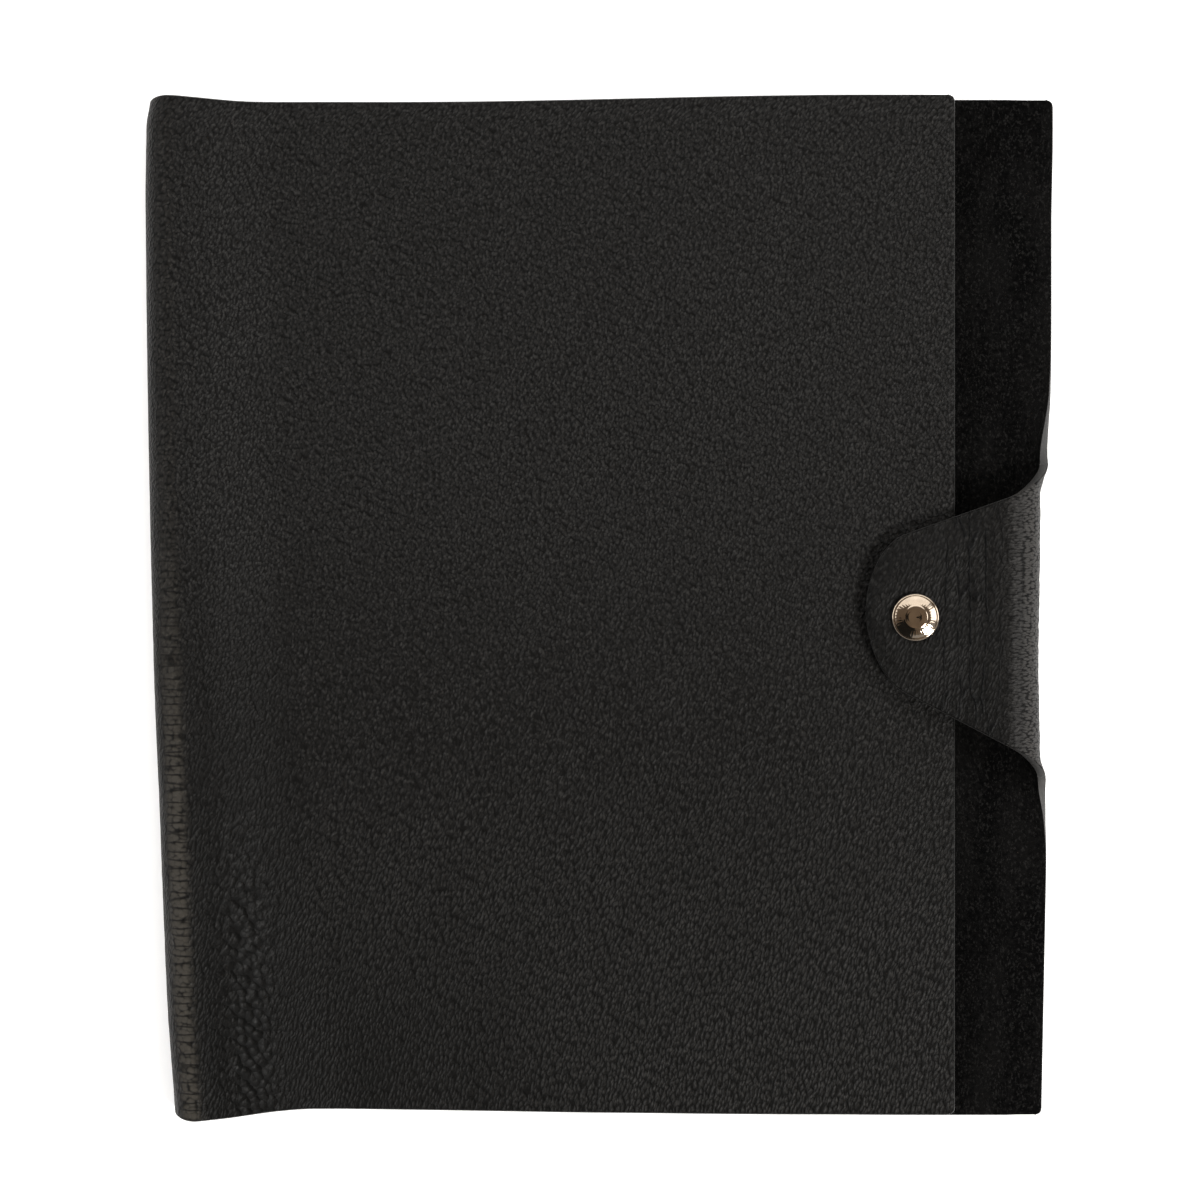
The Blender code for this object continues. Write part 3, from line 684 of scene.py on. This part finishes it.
def cut_edge():
    """Dyed and lightly burnished edge, with the hide's fibres still showing."""
    g = Graph("dyed_edge")
    place = g.attribute("hide_place")
    fibres = g.noise(g.scaled(place, (1.0, 1.0, 5.0)), 1500.0, 3.0, 0.6)["Fac"]
    patches = g.noise(place, 180.0, 2.0)["Fac"]
    base = g.colour(fibres, (0.0080, 0.0078, 0.0075), (0.0240, 0.0230, 0.0215))
    base = g.colour(g.range(patches, 0.55, 0.8), base, (0.034, 0.0315, 0.0285))
    rough = g.math("MULTIPLY_ADD", fibres, 0.25, 0.38)
    normal = g.bump(fibres, 0.00008)
    return g.finish(Base_Color=base, Roughness=rough, Normal=normal, Specular_IOR_Level=0.4)


def plated(name, colour, rough, scratch, brushed=(1.0, 1.0, 1.0)):
    """Metal with fine wear: stretched where it is brushed, even where it is polished."""
    g = Graph(name)
    spot = g.node("TexCoord").outputs["Object"]
    lines = g.noise(g.scaled(spot, brushed), 2600.0, 4.0, 0.6)["Fac"]
    smear = g.noise(spot, 420.0, 3.0)["Fac"]
    tone = g.colour(g.range(smear, 0.35, 0.75), colour, tuple(c * 0.82 for c in colour))
    roughness = g.math("MULTIPLY_ADD", smear, rough * 0.7, rough * 0.65)
    roughness = g.math("MULTIPLY_ADD", lines, rough * 0.4, roughness)
    return g.finish(Base_Color=tone, Roughness=roughness, Metallic=1.0, Normal=g.bump(lines, scratch))


GRAIN, SUEDE, EDGE = grain_leather(), suede(), cut_edge()
for piece in (hide_back_left, hide_front, hide_back_right, strap_top):
    for finish in (GRAIN, SUEDE, EDGE):
        piece.data.materials.append(finish)
CHROME = plated("warm_chrome", (0.25, 0.205, 0.158), 0.075, 0.0000012)
STEEL = plated("brushed_steel", (0.56, 0.55, 0.53), 0.32, 0.000010, (1.0, 0.05, 1.0))
BRONZE = plated("spring_bronze", (0.60, 0.46, 0.27), 0.34, 0.000008)
NODE_FINISH = {
    "snap_socket": CHROME,
    "snap_stud": CHROME,
    "stud_post": CHROME,
    "socket_spring": BRONZE,
    "notebook_bar": STEEL,
    "upper_bar_post": STEEL,
    "lower_bar_post": STEEL,
    "upper_post_rivet": STEEL,
    "lower_post_rivet": STEEL,
}
for name, finish in NODE_FINISH.items():
    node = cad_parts[name]
    for slot in node.material_slots:
        slot.material = finish


# ---- press stud's cap ----------------------------------------------------------------
DOME_RADIUS, DOME_DROP = 0.0046, 0.00084
RIM_WIDTH, RIM_HEIGHT = 0.0006, 0.00030
MILLING_LIFT, MILLING_TEETH = 0.000007, 40


def make_cap():
    """Domed cap: rolled rim, finely milled band, a turned ring and a central dimple."""
    profile = []
    for r in np.linspace(0.0, DOME_RADIUS, 64):
        dome = DOME_DROP * (r / DOME_RADIUS) ** 2.2
        dimple = 0.00022 * bell(r, 0.0, 0.00130)
        ring = 0.00003 * bell(r, 0.0024, 0.00020)
        profile.append((float(r), float(CAP_CROWN - dome - dimple + ring)))
    rim_z = CAP_CROWN - DOME_DROP - RIM_HEIGHT
    for a in np.linspace(0.35, 2.1, 12):
        profile.append((DOME_RADIUS + RIM_WIDTH * math.sin(a), rim_z + RIM_HEIGHT * math.cos(a)))
    profile += [(DOME_RADIUS + RIM_HEIGHT, CAP_BASE), (CAP_POST_RADIUS, CAP_BASE)]
    profile += [(CAP_POST_RADIUS, CAP_POST_BASE), (0.0, CAP_POST_BASE)]
    sides = 240
    turn = np.arange(sides) * 2 * math.pi / sides
    points, rings = [], []
    for radius, z in profile:
        if radius == 0.0:
            rings.append([len(points)])
            points.append((SNAP_X, SNAP_Y, z))
            continue
        band = rise(radius, 0.0030, 0.0003) * fade(radius, 0.0042, 0.0003)
        lift = MILLING_LIFT * band * np.cos(turn * MILLING_TEETH)
        rings.append(list(range(len(points), len(points) + sides)))
        circle = (SNAP_X + radius * np.cos(turn), SNAP_Y + radius * np.sin(turn))
        points += list(zip(*circle, z + lift))
    faces = []
    for upper, lower in zip(rings, rings[1:]):
        for k in range(sides):
            n = (k + 1) % sides
            u, w = len(upper), len(lower)
            corners = [upper[k % u], lower[k % w], lower[n % w], upper[n % u]]
            faces.append(list(dict.fromkeys(corners)))
    mesh = bpy.data.meshes.new("snap_cap_plated")
    mesh.from_pydata([tuple(map(float, p)) for p in points], [], faces)
    mesh.shade_smooth()
    mesh.set_sharp_from_angle(angle=math.radians(50))
    mesh.materials.append(CHROME)
    return link(bpy.data.objects.new("snap_cap_plated", mesh))


cap = make_cap()

# ---- camera, light and floor -----------------------------------------------------------
scene = bpy.context.scene
scene.view_settings.view_transform = "Standard"
SENSOR_MM = 36.0
FRAME_WIDTH = 0.2652  # what the picture takes in, at the front cover's height
CAMERA_HEIGHT = 1.10
camera = link(bpy.data.objects.new("camera", bpy.data.cameras.new("camera")))
camera.location = (0.0002, 0.0017, FRONT_TOP + CAMERA_HEIGHT)
camera.data.lens = SENSOR_MM * CAMERA_HEIGHT / FRAME_WIDTH
camera.data.clip_end = 20.0
scene.camera = camera


def card(name, size, place, colour, glow=0.0):
    """A flat stage board. One that glows is a light table."""
    w, d = size[0] / 2, size[1] / 2
    mesh = bpy.data.meshes.new(name)
    mesh.from_pydata([(-w, -d, 0), (w, -d, 0), (w, d, 0), (-w, d, 0)], [], [(0, 1, 2, 3)])
    board = Graph(name)
    spot = board.node("TexCoord").outputs["Object"]
    shade = board.noise(spot, 6.0, 2.0)["Fac"]
    tone = board.colour(shade, colour, tuple(c * 0.985 for c in colour))
    board.finish(Emission_Color=(1.0, 1.0, 1.0, 1.0), Emission_Strength=glow)
    mesh.materials.append(board.finish(Base_Color=tone, Roughness=0.9, Specular_IOR_Level=0.1))
    item = link(bpy.data.objects.new(name, mesh))
    item.location = place
    return item


def aim_at_object(item):
    item.rotation_euler = (-item.location).to_track_quat("-Z", "Y").to_euler()


card("floor", (9.0, 9.0), (0, 0, -0.0002), (0.95, 0.95, 0.95), glow=0.24)

# Boards out of the camera's sight. They show in the polished cap, as a room does, and
# the ceiling takes some of the sky's light off the leather.
ceiling = card("dark_ceiling", (2.6, 2.6), (0, 0, 1.75), (0.24, 0.19, 0.145))
camera_body = card("camera_body", (0.17, 0.13), (0, 0, 1.20), (0.012, 0.012, 0.012))
flag = card("dark_flag", (0.95, 0.75), (-0.38, -0.62, 1.18), (0.015, 0.015, 0.015))
aim_at_object(flag)
for board in (ceiling, camera_body, flag):
    board.visible_camera = False


def soft_box(name, place, size, power, colour=(1.0, 1.0, 1.0)):
    lamp = bpy.data.lights.new(name, "AREA")
    lamp.shape = "RECTANGLE"
    lamp.size, lamp.size_y = size
    lamp.energy = power
    lamp.color = colour
    item = link(bpy.data.objects.new(name, lamp))
    item.location = place
    aim_at_object(item)
    item.visible_camera = False


soft_box("key", (0.88, -0.74, 1.42), (0.38, 0.38), 33.0, (1.0, 0.985, 0.96))
soft_box("left", (-1.05, 0.30, 0.92), (0.8, 0.7), 6.5)
soft_box("right", (1.10, 0.15, 0.92), (0.6, 0.7), 9.0)
soft_box("head", (0.0, 0.88, 1.22), (2.0, 0.65), 13.5)
world = bpy.data.worlds.new("studio")
world.use_nodes = True
world.node_tree.nodes["Background"].inputs[0].default_value = (1.0, 1.0, 1.0, 1.0)
world.node_tree.nodes["Background"].inputs[1].default_value = 0.80
scene.world = world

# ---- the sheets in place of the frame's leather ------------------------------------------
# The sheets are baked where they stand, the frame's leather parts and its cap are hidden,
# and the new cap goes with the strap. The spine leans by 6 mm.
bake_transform(hide_back_left)
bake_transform(hide_front)
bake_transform(hide_back_right)
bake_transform(strap_top)
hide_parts("back_cover", "spine_fold")
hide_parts("front_cover")
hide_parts("strap_fold")
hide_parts("strap_tab")
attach(cap, "strap")
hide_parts("snap_cap")
